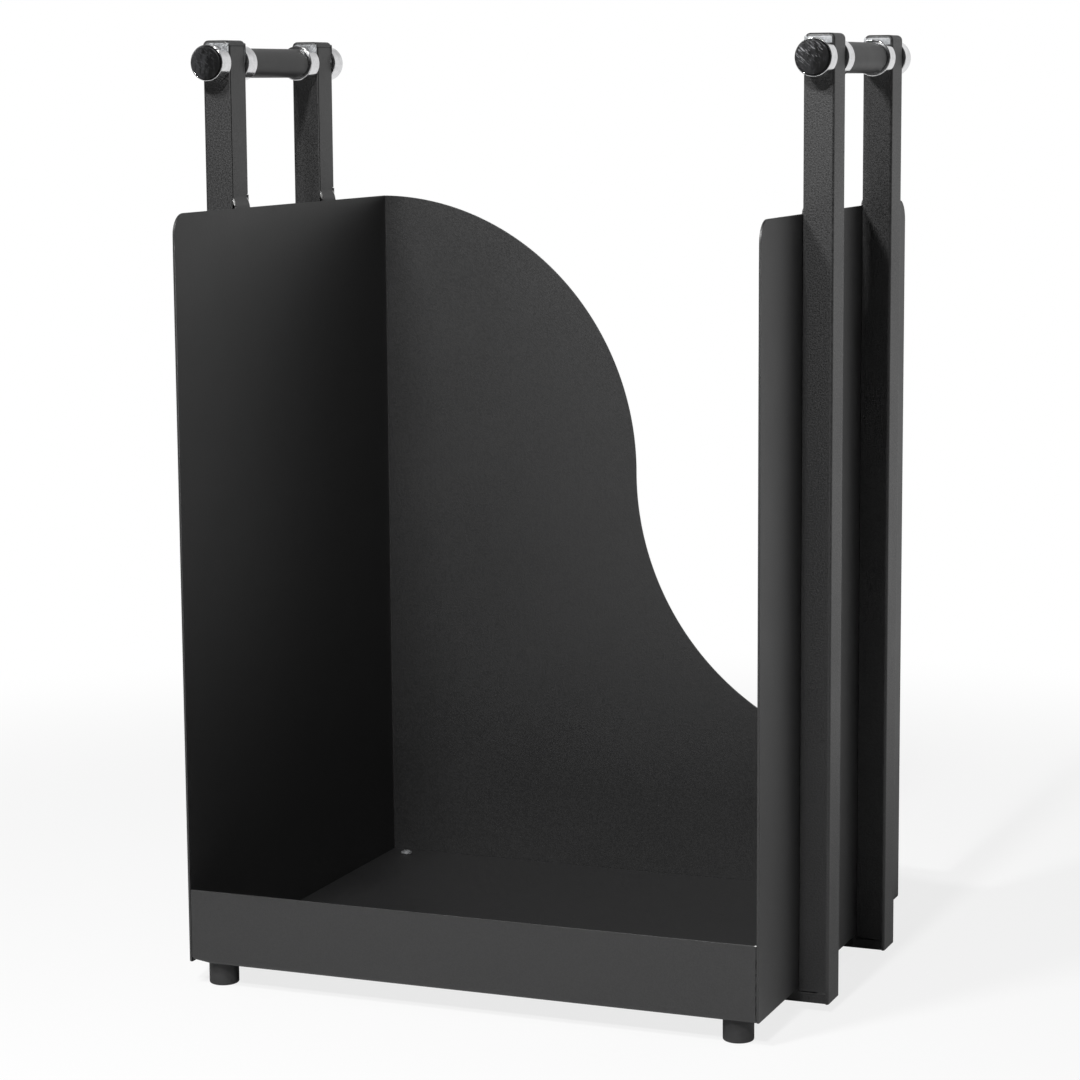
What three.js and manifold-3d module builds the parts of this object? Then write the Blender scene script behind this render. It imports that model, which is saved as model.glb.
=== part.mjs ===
// Firewood rack: a sheet-steel bin carried by two U-shaped channel frames. The frames rise past the
// sides and hold a turning carry grip on each side, between bright collars.
// Millimetres, +Z up, -Y is the open front. The origin is the middle of the footprint, on the ground.
import * as THREE from 'three';
import { mergeVertices } from 'three/addons/utils/BufferGeometryUtils.js';
import Module from 'manifold-3d';

const wasm = await Module();
wasm.setup();

// ---- Driving dimensions ------------------------------------------------------------------------
const BODY_WIDTH = 400;          // over the outer faces of the two sides
const BODY_DEPTH = 330;          // over the side sheets, front edge to rear edge
const SIDE_HEIGHT = 500;         // from the underside of the bin to the top edge of a side
const LIP_HEIGHT = 50;           // front lip, from the underside of the bin
const SHEET = 1.5;               // sheet thickness of the bin and of the channels
const FIT = 0.3;                 // clearance between pieces that touch

const SIDE_CORNER = 14;          // radius of the free top corners of a side
const SIDE_FOOT_CORNER = 1.5;    // radius of the bottom corners of a side
const CURVE_RADIUS = 200;        // radius of both arcs of the curved back edge, which falls by twice that
const TRAY_BEND = 2.5;           // outer radius of the fold between floor and lip
const LIP_RELIEF_LENGTH = 13;    // tapered relief at each lower end of the lip
const LIP_RELIEF_RISE = 1.8;

const CHANNEL_WIDTH = 20;        // how far an upright stands out from the side
const CHANNEL_DEPTH = 25;        // front to rear size of an upright
const FRAME_PITCH = 135;         // front frame to rear frame, centre to centre
const HEAD_RISE = 112;           // top of an upright above the top edge of a side
const HEAD_ROUND = 3;            // radius of the top corners of an upright
const CROSS_HEIGHT = 9.7;        // how far the frames hang below the bin
const SLIT = 0.8;                // open slit between upright flange and crossmember flange
const SLIT_DROP = 1.9;           // lower edge of the upright flanges below the bin

const EAR_JOG = 2.15;            // how far an ear steps outwards from the side
const EAR_JOG_HEIGHT = 8;        // height over which it steps
const EAR_ROOT = 4;              // overlap of the ear with the side sheet, inside one sheet

const AXIS_DROP = 15;            // handle axis below the top of an upright
const BLOCK_DROP = 13;           // bottom of a bearing block below the handle axis
const ROD_RADIUS = 6;
const ROD_CLEARANCE = 0.35;      // of the rod in the blocks, flanges and collars
const COLLAR_RADIUS = 12;
const COLLAR_LENGTH = 13;
const COLLAR_CHAMFER = 0.7;
const COLLAR_RIM = 0.8;          // wall of the outer collar around its end cap
const RECESS_DEPTH = 4;
const CAP_PROUD = 1.5;           // how far an end cap stands out of its collar
const CAP_EDGE = 1;
const GRIP_RADIUS = 10;
const GRIP_CLEARANCE = 0.5;      // of the turning grip on its rod
const GRIP_PLAY = 0.5;           // end play of a grip at each collar
const GRIP_EDGE = 1;

const FOOT_HEIGHT = 16;          // underside of the bin above the ground
const FOOT_RADIUS = 10;
const FOOT_EDGE = 1.2;
const FOOT_FROM_SIDE = 18;       // foot centre in from the outer face of a side
const FOOT_FROM_END = 15;        // foot centre in from the front or rear edge
const SCREW_RADIUS = 2;
const SCREW_CLEARANCE = 0.35;
const SCREW_HEAD_RADIUS = 4;
const SCREW_HEAD_HEIGHT = 2.4;
const SCREW_CROWN_HEIGHT = 1;    // sloped part of a screw head
const SCREW_CROWN_RADIUS = 2.4;  // flat on top of a screw head
const SCREW_DEPTH = 10;          // length of screw inside the foot
const SCREW_TIP_ROOM = 1;        // free depth of the foot's hole under the screw
const CROSS_WIDTH = 0.9;         // cross recess in a screw head
const CROSS_REACH = 2.2;
const CROSS_DEPTH = 1.2;

const OVERRUN = 1;               // how far a cutter runs past the material
const BLOCK_OVERLAP = 1;         // of the two parts of a bearing block, inside the block
const EDGE_SEGMENTS = 6;         // facets of a rounded corner
const CURVE_SEGMENTS = 40;       // facets of each arc of the back edge
const ROUND_SEGMENTS = 36;
const FOOT_SEGMENTS = 32;
const SCREW_SEGMENTS = 20;
const HOLE_SEGMENTS = 24;

// ---- Sizes worked out from them ------------------------------------------------------------------
const binBottom = FOOT_HEIGHT;
const sideTop = binBottom + SIDE_HEIGHT;
const headTop = sideTop + HEAD_RISE;
const frameBottom = binBottom - CROSS_HEIGHT;
const axisHeight = headTop - AXIS_DROP;
const halfWidth = BODY_WIDTH / 2;
const halfDepth = BODY_DEPTH / 2;
const sideInner = halfWidth - SHEET;
const channelInner = halfWidth + FIT;
const channelOuter = halfWidth + CHANNEL_WIDTH;
const webInner = channelOuter - SHEET;
const axisX = (channelInner + channelOuter) / 2;
const frameY = { front: -FRAME_PITCH / 2, rear: FRAME_PITCH / 2 };
const halfChannel = CHANNEL_DEPTH / 2;
const capUnderside = headTop - SHEET;
const earInner = sideInner + EAR_JOG;
const earOuter = earInner + SHEET;
const earHalf = halfChannel - SHEET - FIT;
const rodHole = ROD_RADIUS + ROD_CLEARANCE;
const recessRadius = COLLAR_RADIUS - COLLAR_RIM;
const gripBore = ROD_RADIUS + GRIP_CLEARANCE;
const screwHole = SCREW_RADIUS + SCREW_CLEARANCE;
const sideSign = { left: -1, right: 1 };
const endSign = { front: -1, rear: 1 };

// ---- Geometry helpers ------------------------------------------------------------------------------
const AXIS_X = new THREE.Vector3(1, 0, 0);
const AXIS_Y = new THREE.Vector3(0, 1, 0);
const AXIS_Z = new THREE.Vector3(0, 0, 1);

function toSolid(geometry) {
  const bare = geometry.clone();
  bare.deleteAttribute('normal');
  bare.deleteAttribute('uv');
  const merged = mergeVertices(bare, 1e-4);
  return new wasm.Manifold(new wasm.Mesh({
    numProp: 3,
    vertProperties: new Float32Array(merged.attributes.position.array),
    triVerts: new Uint32Array(merged.index.array),
  }));
}

function toGeometry(solid) {
  const mesh = solid.getMesh();
  const geometry = new THREE.BufferGeometry();
  geometry.setAttribute('position', new THREE.BufferAttribute(mesh.vertProperties.slice(), 3));
  geometry.setIndex(new THREE.BufferAttribute(mesh.triVerts.slice(), 1));
  geometry.computeVertexNormals();
  return geometry;
}

// A box between two values on each axis, given in either order.
function box(x0, x1, y0, y1, z0, z1) {
  const size = [Math.abs(x1 - x0), Math.abs(y1 - y0), Math.abs(z1 - z0)];
  return toSolid(new THREE.BoxGeometry(...size).translate((x0 + x1) / 2, (y0 + y1) / 2, (z0 + z1) / 2));
}

// An outline in Y and Z carried along X.
function alongX(shape, x0, x1) {
  const geometry = new THREE.ExtrudeGeometry(shape, {
    depth: Math.abs(x1 - x0), bevelEnabled: false, curveSegments: EDGE_SEGMENTS,
  });
  geometry.applyMatrix4(new THREE.Matrix4().makeBasis(AXIS_Y, AXIS_Z, AXIS_X));
  return toSolid(geometry.translate(Math.min(x0, x1), 0, 0));
}

// An outline in X and Z carried along Y.
function alongY(shape, y0, y1, curveSegments = EDGE_SEGMENTS) {
  const geometry = new THREE.ExtrudeGeometry(shape, {
    depth: Math.abs(y1 - y0), bevelEnabled: false, curveSegments,
  });
  geometry.applyMatrix4(new THREE.Matrix4().makeBasis(AXIS_X, AXIS_Z, AXIS_Y.clone().negate()));
  return toSolid(geometry.translate(0, Math.max(y0, y1), 0));
}

// A round bar along Y.
function barY(radius, x, z, y0, y1) {
  const bar = new THREE.CylinderGeometry(radius, radius, Math.abs(y1 - y0), ROUND_SEGMENTS);
  return toSolid(bar.translate(x, (y0 + y1) / 2, z));
}

// A round cutter along Z, for a screw hole.
function barZ(radius, x, y, z0, z1) {
  const bar = new THREE.CylinderGeometry(radius, radius, Math.abs(z1 - z0), HOLE_SEGMENTS);
  return toSolid(bar.rotateX(Math.PI / 2).translate(x, y, (z0 + z1) / 2));
}

// A turned piece: radius and height pairs from the bottom outwards and up, spun about the height axis.
function turned(profile, segments) {
  const points = profile.map(([radius, height]) => new THREE.Vector2(radius, height));
  return new THREE.LatheGeometry(points, segments);
}

// A rectangle with its own radius at each corner, drawn from the bottom left corner.
function roundedRect(a0, a1, b0, b1, { bottomLeft = 0, bottomRight = 0, topRight = 0, topLeft = 0 }) {
  const shape = new THREE.Shape();
  shape.moveTo(a0 + bottomLeft, b0);
  shape.lineTo(a1 - bottomRight, b0);
  if (bottomRight) shape.absarc(a1 - bottomRight, b0 + bottomRight, bottomRight, -Math.PI / 2, 0);
  shape.lineTo(a1, b1 - topRight);
  if (topRight) shape.absarc(a1 - topRight, b1 - topRight, topRight, 0, Math.PI / 2);
  shape.lineTo(a0 + topLeft, b1);
  if (topLeft) shape.absarc(a0 + topLeft, b1 - topLeft, topLeft, Math.PI / 2, Math.PI);
  shape.lineTo(a0, b0 + bottomLeft);
  if (bottomLeft) shape.absarc(a0 + bottomLeft, b0 + bottomLeft, bottomLeft, Math.PI, Math.PI * 1.5);
  return shape;
}

// ---- Materials and assembly ------------------------------------------------------------------------
const rack = new THREE.Group();

const finishes = {
  paint: { color: 0x3f4042, roughness: 0.6, metalness: 0.2 },
  chrome: { color: 0xd6d7d9, roughness: 0.15, metalness: 1 },
  zinc: { color: 0xa7abae, roughness: 0.4, metalness: 1 },
  steel: { color: 0x8b8d90, roughness: 0.35, metalness: 1 },
  sleeve: { color: 0x3c3d3f, roughness: 0.55, metalness: 0 },
  cap: { color: 0x222325, roughness: 0.45, metalness: 0 },
  foot: { color: 0x38393b, roughness: 0.7, metalness: 0 },
};

function addPiece(name, shape, finish) {
  const geometry = shape instanceof THREE.BufferGeometry ? shape : toGeometry(shape);
  const mesh = new THREE.Mesh(geometry, new THREE.MeshStandardMaterial(finishes[finish]));
  mesh.name = name;
  rack.add(mesh);
}

// ---- Bin ---------------------------------------------------------------------------------------------
// Floor and front lip: one sheet folded up along the front edge, fitted between the sides.
function floorTray() {
  const front = -halfDepth;
  const rear = halfDepth - SHEET - FIT;
  const outline = new THREE.Shape();
  outline.moveTo(front + TRAY_BEND, binBottom);
  outline.lineTo(rear, binBottom);
  outline.lineTo(rear, binBottom + SHEET);
  outline.lineTo(front + TRAY_BEND, binBottom + SHEET);
  outline.absarc(front + TRAY_BEND, binBottom + TRAY_BEND, TRAY_BEND - SHEET, -Math.PI / 2, -Math.PI, true);
  outline.lineTo(front + SHEET, binBottom + LIP_HEIGHT);
  outline.lineTo(front, binBottom + LIP_HEIGHT);
  outline.lineTo(front, binBottom + TRAY_BEND);
  outline.absarc(front + TRAY_BEND, binBottom + TRAY_BEND, TRAY_BEND, Math.PI, Math.PI * 1.5);
  const halfLength = sideInner - FIT;
  let tray = alongX(outline, -halfLength, halfLength);
  for (const side of [-1, 1]) {
    const relief = new THREE.Shape();
    relief.moveTo(side * (halfLength - LIP_RELIEF_LENGTH), binBottom);
    relief.lineTo(side * (halfLength + OVERRUN), binBottom - OVERRUN);
    relief.lineTo(side * (halfLength + OVERRUN), binBottom + LIP_RELIEF_RISE);
    relief.closePath();
    tray = tray.subtract(alongY(relief, front - OVERRUN, front + TRAY_BEND));
    for (const end of [-1, 1]) {
      const x = side * (halfWidth - FOOT_FROM_SIDE);
      const y = end * (halfDepth - FOOT_FROM_END);
      tray = tray.subtract(barZ(screwHole, x, y, binBottom - OVERRUN, binBottom + SHEET + OVERRUN));
    }
  }
  return tray;
}

// Back sheet: its top edge falls from left to right in two arcs that meet half way down. A bin wider
// than the arcs gets a flat stretch beyond each of them.
function backPanel() {
  const edge = sideInner - FIT;
  const middle = sideTop - CURVE_RADIUS;
  const arcEnd = Math.acos(Math.max(0, 1 - edge / CURVE_RADIUS));
  const outline = new THREE.Shape();
  outline.moveTo(-edge, binBottom);
  outline.lineTo(edge, binBottom);
  if (edge > CURVE_RADIUS) outline.lineTo(edge, middle - CURVE_RADIUS);
  outline.absarc(CURVE_RADIUS, middle, CURVE_RADIUS, Math.PI + arcEnd, Math.PI, true);
  outline.absarc(-CURVE_RADIUS, middle, CURVE_RADIUS, 0, arcEnd);
  if (edge > CURVE_RADIUS) outline.lineTo(-edge, sideTop);
  outline.closePath();
  return alongY(outline, halfDepth - SHEET, halfDepth, CURVE_SEGMENTS);
}

// Side sheet with two ears. An ear steps outwards above the top edge and closes the open face of
// the upright behind it. The left side keeps a square rear corner, where it meets the full back.
function sidePanel(sign, rearCorner) {
  const outline = roundedRect(-halfDepth, halfDepth, binBottom, sideTop, {
    bottomLeft: SIDE_FOOT_CORNER, bottomRight: SIDE_FOOT_CORNER, topRight: rearCorner, topLeft: SIDE_CORNER,
  });
  let panel = alongX(outline, sign * sideInner, sign * halfWidth);
  const ear = new THREE.Shape();
  ear.moveTo(sign * sideInner, sideTop - EAR_ROOT);
  ear.lineTo(sign * halfWidth, sideTop - EAR_ROOT);
  ear.lineTo(sign * halfWidth, sideTop);
  ear.lineTo(sign * earOuter, sideTop + EAR_JOG_HEIGHT);
  ear.lineTo(sign * earOuter, capUnderside - FIT);
  ear.lineTo(sign * earInner, capUnderside - FIT);
  ear.lineTo(sign * earInner, sideTop + EAR_JOG_HEIGHT);
  ear.lineTo(sign * sideInner, sideTop);
  ear.closePath();
  for (const y of Object.values(frameY)) {
    panel = panel.add(alongY(ear, y - earHalf, y + earHalf));
  }
  return panel;
}

// ---- Frames ------------------------------------------------------------------------------------------
// The outer envelope of an upright, with its top corners rounded in both directions.
function uprightEnvelope(sign, y) {
  const across = [sign * channelInner, sign * channelOuter].sort((a, b) => a - b);
  const round = { topLeft: HEAD_ROUND, topRight: HEAD_ROUND };
  const faceOutline = roundedRect(across[0], across[1], frameBottom, headTop, round);
  const sideOutline = roundedRect(y - halfChannel, y + halfChannel, frameBottom, headTop, round);
  const fromFront = alongY(faceOutline, y - halfChannel, y + halfChannel);
  const fromSide = alongX(sideOutline, across[0], across[1]);
  return fromFront.intersect(fromSide);
}

// Upright: a channel open towards the bin. Its outer web runs down past the bin and folds over the
// top. Its flanges stop at the handle axis, where the bearing block takes over.
function upright(sign, y) {
  const open = sign * (channelInner - OVERRUN);
  const web = sign * webInner;
  const under = frameBottom - OVERRUN;
  const reach = halfChannel + OVERRUN;
  return uprightEnvelope(sign, y)
    .subtract(box(open, web, y - halfChannel + SHEET, y + halfChannel - SHEET, under, capUnderside))
    .subtract(box(open, web, y - reach, y + reach, axisHeight, capUnderside))
    .subtract(box(open, web, y - reach, y + reach, under, binBottom - SLIT_DROP))
    .subtract(barY(rodHole, sign * axisX, axisHeight, y - reach, y + reach));
}

// Crossmember: a shallow channel open upwards, under the floor, between the webs of two uprights.
// Its flanges are lower at the ends, where the flanges of the uprights stand over them.
function crossmember(y) {
  const end = webInner - FIT;
  const past = end + OVERRUN;
  const top = binBottom - FIT;
  const over = top + OVERRUN;
  const reach = halfChannel + OVERRUN;
  const wall = halfChannel - SHEET;
  const slitFoot = binBottom - SLIT_DROP - SLIT;
  return box(-end, end, y - halfChannel, y + halfChannel, frameBottom, top)
    .subtract(box(-past, past, y - wall, y + wall, frameBottom + SHEET, over))
    .subtract(box(-halfWidth, -past, y - reach, y + reach, slitFoot, over))
    .subtract(box(halfWidth, past, y - reach, y + reach, slitFoot, over));
}

// Bearing block: fills the head of an upright and carries the rod. Above the flanges it comes out
// flush with the front and rear faces, around the ear.
function bearingBlock(sign, y) {
  const open = sign * (channelInner - OVERRUN);
  const inner = sign * (earOuter + FIT);
  const outer = sign * (webInner - FIT);
  const headFoot = axisHeight + FIT;
  const earRoom = earHalf + FIT;
  const reach = halfChannel + OVERRUN;
  const core = box(inner, outer, y - earHalf, y + earHalf, axisHeight - BLOCK_DROP, headFoot + BLOCK_OVERLAP);
  return box(sign * channelInner, outer, y - halfChannel, y + halfChannel, headFoot, capUnderside - FIT)
    .subtract(box(open, inner, y - earRoom, y + earRoom, headFoot - OVERRUN, headTop))
    .intersect(uprightEnvelope(sign, y))
    .add(core)
    .subtract(barY(rodHole, sign * axisX, axisHeight, y - reach, y + reach));
}

// ---- Handles -----------------------------------------------------------------------------------------
// Positions along the handle, measured outwards from its middle.
const innerCollarStart = FRAME_PITCH / 2 - halfChannel - FIT - COLLAR_LENGTH;
const outerCollarStart = FRAME_PITCH / 2 + halfChannel + FIT;
const outerCollarEnd = outerCollarStart + COLLAR_LENGTH;
const gripHalf = innerCollarStart - GRIP_PLAY;
const rodHalf = outerCollarEnd - RECESS_DEPTH;

function collar(recess) {
  const chamfer = COLLAR_CHAMFER;
  const mouth = recess
    ? [[recessRadius, COLLAR_LENGTH], [recessRadius, COLLAR_LENGTH - RECESS_DEPTH],
      [rodHole, COLLAR_LENGTH - RECESS_DEPTH]]
    : [[rodHole, COLLAR_LENGTH]];
  const profile = [
    [rodHole, 0], [COLLAR_RADIUS - chamfer, 0], [COLLAR_RADIUS, chamfer],
    [COLLAR_RADIUS, COLLAR_LENGTH - chamfer / 2], [COLLAR_RADIUS - chamfer / 2, COLLAR_LENGTH],
    ...mouth, [rodHole, 0],
  ];
  return turned(profile, ROUND_SEGMENTS);
}

function endCap() {
  const radius = recessRadius - FIT;
  const foot = outerCollarEnd - RECESS_DEPTH + FIT;
  const top = outerCollarEnd + CAP_PROUD;
  const profile = [[0, foot], [radius, foot], [radius, top - CAP_EDGE], [radius - CAP_EDGE, top], [0, top]];
  return turned(profile, ROUND_SEGMENTS);
}

function gripSleeve() {
  const end = gripHalf;
  return turned([
    [gripBore, -end], [GRIP_RADIUS - GRIP_EDGE, -end], [GRIP_RADIUS, GRIP_EDGE - end],
    [GRIP_RADIUS, end - GRIP_EDGE], [GRIP_RADIUS - GRIP_EDGE, end], [gripBore, end], [gripBore, -end],
  ], ROUND_SEGMENTS);
}

// ---- Feet --------------------------------------------------------------------------------------------
function foot(x, y) {
  const top = binBottom - FIT;
  const peg = toSolid(turned([
    [0, 0], [FOOT_RADIUS - FOOT_EDGE, 0], [FOOT_RADIUS, FOOT_EDGE], [FOOT_RADIUS, top], [0, top],
  ], FOOT_SEGMENTS).rotateX(Math.PI / 2).translate(x, y, 0));
  return peg.subtract(barZ(screwHole, x, y, top - SCREW_DEPTH - SCREW_TIP_ROOM, top + OVERRUN));
}

function footScrew(x, y) {
  const seat = binBottom + SHEET + FIT;
  const crown = seat + SCREW_HEAD_HEIGHT;
  const tip = binBottom - FIT - SCREW_DEPTH;
  const half = CROSS_WIDTH / 2;
  const floor = crown - CROSS_DEPTH;
  return toSolid(turned([
    [0, tip], [SCREW_RADIUS, tip], [SCREW_RADIUS, seat], [SCREW_HEAD_RADIUS, seat],
    [SCREW_HEAD_RADIUS, crown - SCREW_CROWN_HEIGHT], [SCREW_CROWN_RADIUS, crown], [0, crown],
  ], SCREW_SEGMENTS).rotateX(Math.PI / 2).translate(x, y, 0))
    .subtract(box(x - CROSS_REACH, x + CROSS_REACH, y - half, y + half, floor, crown + OVERRUN))
    .subtract(box(x - half, x + half, y - CROSS_REACH, y + CROSS_REACH, floor, crown + OVERRUN));
}

// ---- The rack ----------------------------------------------------------------------------------------
addPiece('floor_tray', floorTray(), 'paint');
addPiece('back_panel', backPanel(), 'paint');
addPiece('left_side_panel', sidePanel(-1, 0), 'paint');
addPiece('right_side_panel', sidePanel(1, SIDE_CORNER), 'paint');

for (const [end, y] of Object.entries(frameY)) {
  addPiece(`${end}_crossmember`, crossmember(y), 'paint');
  for (const [side, sign] of Object.entries(sideSign)) {
    addPiece(`${end}_${side}_upright`, upright(sign, y), 'paint');
    addPiece(`${end}_${side}_bearing_block`, bearingBlock(sign, y), 'zinc');
  }
}

for (const [side, sign] of Object.entries(sideSign)) {
  const x = sign * axisX;
  addPiece(`${side}_handle_rod`, barY(ROD_RADIUS, x, axisHeight, -rodHalf, rodHalf), 'steel');
  addPiece(`${side}_grip_sleeve`, gripSleeve().translate(x, 0, axisHeight), 'sleeve');
  for (const [end, direction] of Object.entries(endSign)) {
    const turn = direction < 0 ? Math.PI : 0;
    const place = (piece, start) => piece.translate(0, start, 0).rotateZ(turn).translate(x, 0, axisHeight);
    addPiece(`${end}_${side}_inner_collar`, place(collar(false), innerCollarStart), 'chrome');
    addPiece(`${end}_${side}_outer_collar`, place(collar(true), outerCollarStart), 'chrome');
    addPiece(`${end}_${side}_end_cap`, place(endCap(), 0), 'cap');
    const footX = sign * (halfWidth - FOOT_FROM_SIDE);
    const footY = direction * (halfDepth - FOOT_FROM_END);
    addPiece(`${end}_${side}_foot`, foot(footX, footY), 'foot');
    addPiece(`${end}_${side}_foot_screw`, footScrew(footX, footY), 'steel');
  }
}

export default rack;
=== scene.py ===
"""Firewood rack: its surface pieces, finishes and studio stage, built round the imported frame."""
import math

import bpy
import numpy as np
from mathutils import Matrix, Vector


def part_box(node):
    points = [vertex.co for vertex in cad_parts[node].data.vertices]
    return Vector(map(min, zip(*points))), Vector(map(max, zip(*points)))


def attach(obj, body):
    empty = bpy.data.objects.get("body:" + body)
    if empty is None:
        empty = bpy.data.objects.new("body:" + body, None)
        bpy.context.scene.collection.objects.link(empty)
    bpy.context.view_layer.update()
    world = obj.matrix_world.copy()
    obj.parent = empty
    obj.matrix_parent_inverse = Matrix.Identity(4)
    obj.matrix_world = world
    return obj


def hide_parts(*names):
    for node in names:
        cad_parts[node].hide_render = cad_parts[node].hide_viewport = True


bl_info = {
    "name": "Firewood rack",
    "version": (1, 0, 0),
    "blender": (4, 5, 0),
    "location": "View3D > Sidebar > Firewood rack",
    "description": "Builds a steel firewood rack piece by piece, with its finishes and a stage",
    "category": "Object",
}

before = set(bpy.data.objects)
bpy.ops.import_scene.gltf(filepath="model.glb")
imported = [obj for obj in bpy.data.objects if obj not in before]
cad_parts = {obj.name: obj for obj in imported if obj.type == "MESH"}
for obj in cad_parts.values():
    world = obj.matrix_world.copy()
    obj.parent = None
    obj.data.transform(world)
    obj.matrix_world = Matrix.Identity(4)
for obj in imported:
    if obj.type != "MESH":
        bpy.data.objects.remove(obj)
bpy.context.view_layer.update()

WHITE = (1, 1, 1, 1)
SIDES = {"left": -1, "right": 1}
ENDS = {"front": -1, "rear": 1}
UPRIGHTS = [(end, side) for end in ENDS for side in SIDES]
# Angle between two faces above which their edge is rounded.
SHARP_EDGE = math.radians(50)
# How near to the end of a flat stretch its extra row of points lies, in metres.
SHOULDER = 0.0004
# Start and end of each short weld beside the lip, as shares of its height.
SEAM_WELDS = [(0.02, 0.12), (0.20, 0.31), (0.34, 0.42), (0.47, 0.61), (0.63, 0.70), (0.80, 0.95)]
# Half lengths of a tack weld along, across and outwards, in metres: at an ear and at the lip. These
# beads are painted bright as highlights.
EAR_HIGHLIGHT_TACK = (0.0030, 0.0008, 0.0009)
LIP_HIGHLIGHT_TACK = (0.0018, 0.00035, 0.0004)


# ---- Shapes: outlines, spun profiles and folded sheets ----
def box_of(node):
    """Lowest and highest corner of a frame node, as arrays in metres."""
    low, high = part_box(node)
    return np.array(low), np.array(high)


def reach_of(node):
    """Least and greatest distance of a frame node from the rack's middle plane, in metres."""
    low, high = box_of(node)
    return sorted((abs(low[0]), abs(high[0])))


def middle_of(node):
    """Centre of a frame node's box."""
    low, high = box_of(node)
    return (low + high) / 2


def rounded(corners, radii, steps=5, closed=True):
    """Outline through the corners with each one turned on an arc.

    An arc starts r tan(turn / 2) before its corner; its points are the start plus
    r (sin f along the way in, 1 - cos f towards the inside), for f from 0 to the turn."""
    corners = np.asarray(corners, float)
    radii = np.broadcast_to(np.asarray(radii, float), len(corners)).copy()
    if not closed:
        radii[[0, -1]] = 0
    arriving = corners - np.roll(corners, 1, 0)
    leaving = np.roll(corners, -1, 0) - corners
    arriving /= np.linalg.norm(arriving, axis=1)[:, None]
    leaving /= np.linalg.norm(leaving, axis=1)[:, None]
    cross = arriving[:, 0] * leaving[:, 1] - arriving[:, 1] * leaving[:, 0]
    turn = np.arctan2(cross, (arriving * leaving).sum(1))
    start = corners - arriving * (radii * np.tan(np.abs(turn) / 2))[:, None]
    inwards = np.sign(turn)[:, None] * np.column_stack((-arriving[:, 1], arriving[:, 0]))
    angle = np.abs(turn)[:, None] * np.linspace(0, 1, steps + 1)
    points = (
        start[:, None]
        + (radii[:, None] * np.sin(angle))[..., None] * arriving[:, None]
        + (radii[:, None] * (1 - np.cos(angle)))[..., None] * inwards[:, None]
    )
    return distinct(points.reshape(-1, 2), closed)


def distinct(points, closed=True):
    """The same polyline without points that repeat the one before."""
    step = np.linalg.norm(points - np.roll(points, 1, 0), axis=1)
    keep = step > 1e-8
    if not closed:
        keep[0] = True
    return points[keep]


def with_shoulders(points, reach=SHOULDER):
    """An open polyline with an extra point a short reach inside each end of every long segment.

    They keep the smooth shading of a small rounding off the flat beside it."""
    before, after = points[:-1], points[1:]
    length = np.linalg.norm(after - before, axis=1)
    way = (after - before) / np.maximum(length, 1e-12)[:, None]
    long = length > 4 * reach
    rows = [points[:1]]
    near = np.where(long[:, None], before + way * reach, before)
    far = np.where(long[:, None], after - way * reach, before)
    rows.append(np.stack((near, far, after), 1).reshape(-1, 2))
    return distinct(np.concatenate(rows), closed=False)


def fill(mesh, points, faces):
    """Puts points and groups of faces, each a table with one face to a row, into an empty mesh.

    They are turned to point outwards: the sum of corner . (corner x corner) over the fans of
    triangles that the faces make is six times the volume inside, negative when they point in."""
    volume = 0
    for f in faces:
        fans = np.cross(points[f[:, 1:-1]], points[f[:, 2:]])
        volume += np.einsum("ik,ijk->", points[f[:, 0]], fans)
    if volume < 0:
        faces = [f[:, ::-1] for f in faces]
    corners = np.concatenate([f.reshape(-1) for f in faces]).astype(np.int32)
    sides = np.concatenate([np.full(len(f), f.shape[1]) for f in faces])
    mesh.vertices.add(len(points))
    mesh.vertices.foreach_set("co", points.astype(np.float32).reshape(-1))
    mesh.loops.add(len(corners))
    mesh.loops.foreach_set("vertex_index", corners)
    mesh.polygons.add(len(sides))
    mesh.polygons.foreach_set("loop_start", (np.cumsum(sides) - sides).astype(np.int32))
    mesh.update(calc_edges=True)
    mesh.validate()
    mesh.polygons.foreach_set("use_smooth", np.ones(len(mesh.polygons), bool))


def add_mesh(name, points, faces, material, replaces=(), edge=None, body="rack"):
    """A finished piece from its points and faces, riding on a body of the frame."""
    mesh = bpy.data.meshes.new(name)
    fill(mesh, points, faces)
    mesh.materials.append(finish(material))
    piece = bpy.data.objects.new(name, mesh)
    bpy.context.scene.collection.objects.link(piece)
    if edge:
        bevel = piece.modifiers.new("Rounded edges", "BEVEL")
        bevel.width, bevel.segments, bevel.harden_normals = edge, 2, True
        bevel.limit_method, bevel.angle_limit = "ANGLE", SHARP_EDGE
    if replaces:
        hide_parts(*replaces)
    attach(piece, body)


def spin(profile, centre, axis, steps=96, closed=False):
    """Points and faces of a profile of (radius, height) pairs spun about an axis through a centre.

    The point at angle t is (r cos t, r sin t) across the axis and h along it. A point on the axis
    is a single pole."""
    profile = np.asarray(profile, float)
    turn = np.linspace(0, 2 * math.pi, steps, endpoint=False)
    across = profile[:, :1] * np.cos(turn), profile[:, :1] * np.sin(turn)
    height = np.broadcast_to(profile[:, 1:], across[0].shape)
    order = {"Y": (across[0], height, across[1]), "Z": (across[0], across[1], height)}[axis]
    grid = np.stack(order, -1) + np.asarray(centre)
    pole = profile[:, 0] < 1e-9
    ids = np.arange(grid.shape[0] * steps).reshape(-1, steps)
    ids[pole] = ids[pole, :1]
    lower, upper = (ids, np.roll(ids, -1, 0)) if closed else (ids[:-1], ids[1:])
    ring = np.stack((lower, np.roll(lower, -1, 1), np.roll(upper, -1, 1), upper), -1)
    low_pole, high_pole = ring[..., 0] == ring[..., 1], ring[..., 2] == ring[..., 3]
    faces = [
        ring[~low_pole & ~high_pole],
        ring[low_pole & ~high_pole][:, [0, 2, 3]],
        ring[high_pole & ~low_pole][:, [0, 1, 2]],
    ]
    return compact(grid.reshape(-1, 3), faces)


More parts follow.
